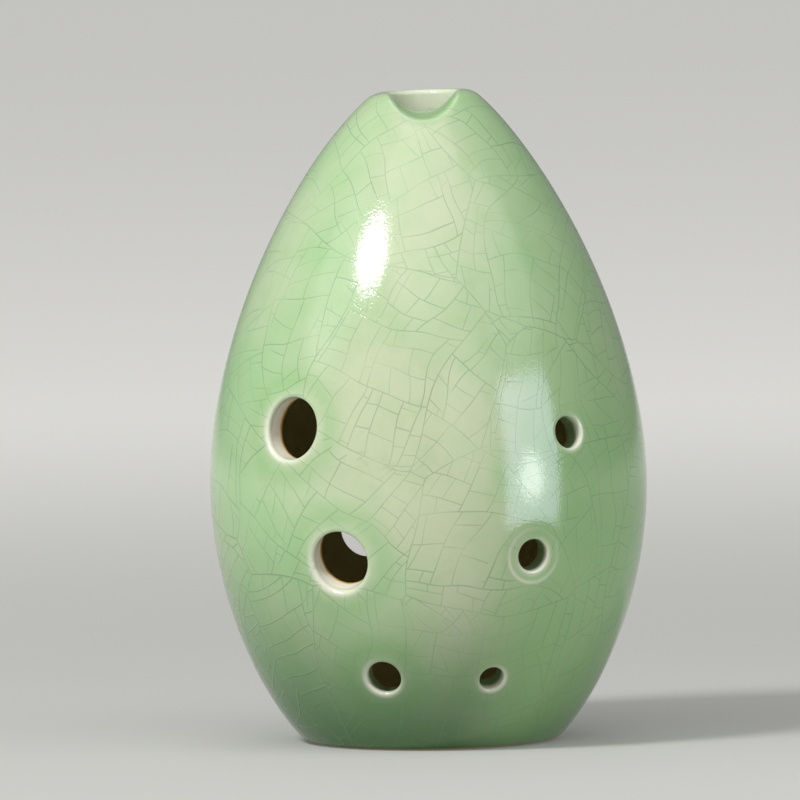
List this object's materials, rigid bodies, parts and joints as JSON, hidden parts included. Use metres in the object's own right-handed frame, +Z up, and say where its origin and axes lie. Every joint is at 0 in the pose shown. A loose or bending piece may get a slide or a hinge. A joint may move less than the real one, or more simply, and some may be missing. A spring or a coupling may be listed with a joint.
{
  "type": "xun vessel flute",
  "caption": "Egg-shaped clay vessel flute with a green crackle glaze, a notched blow hole on top, finger holes in front and thumb holes behind.",
  "frame": {"origin": "centre of the flat foot, on the surface it stands on", "axes": "+Z up along the axis of the egg, -Y the front with the blowing notch and the finger holes, +X the viewer's right"},
  "size_m": [0.0738, 0.0738, 0.11],
  "materials": {
    "upper_clay": "fired, unglazed",
    "lower_clay": "fired, unglazed",
    "luting_clay": "fired, unglazed, finger-smoothed",
    "celadon_glaze": "glossy crackle glaze"
  },
  "bodies": {
    "root": {"upper_shell": "upper_clay", "lower_shell": "lower_clay", "luting_coil": "luting_clay", "glaze_coat": "celadon_glaze"}
  },
  "joints": []
}
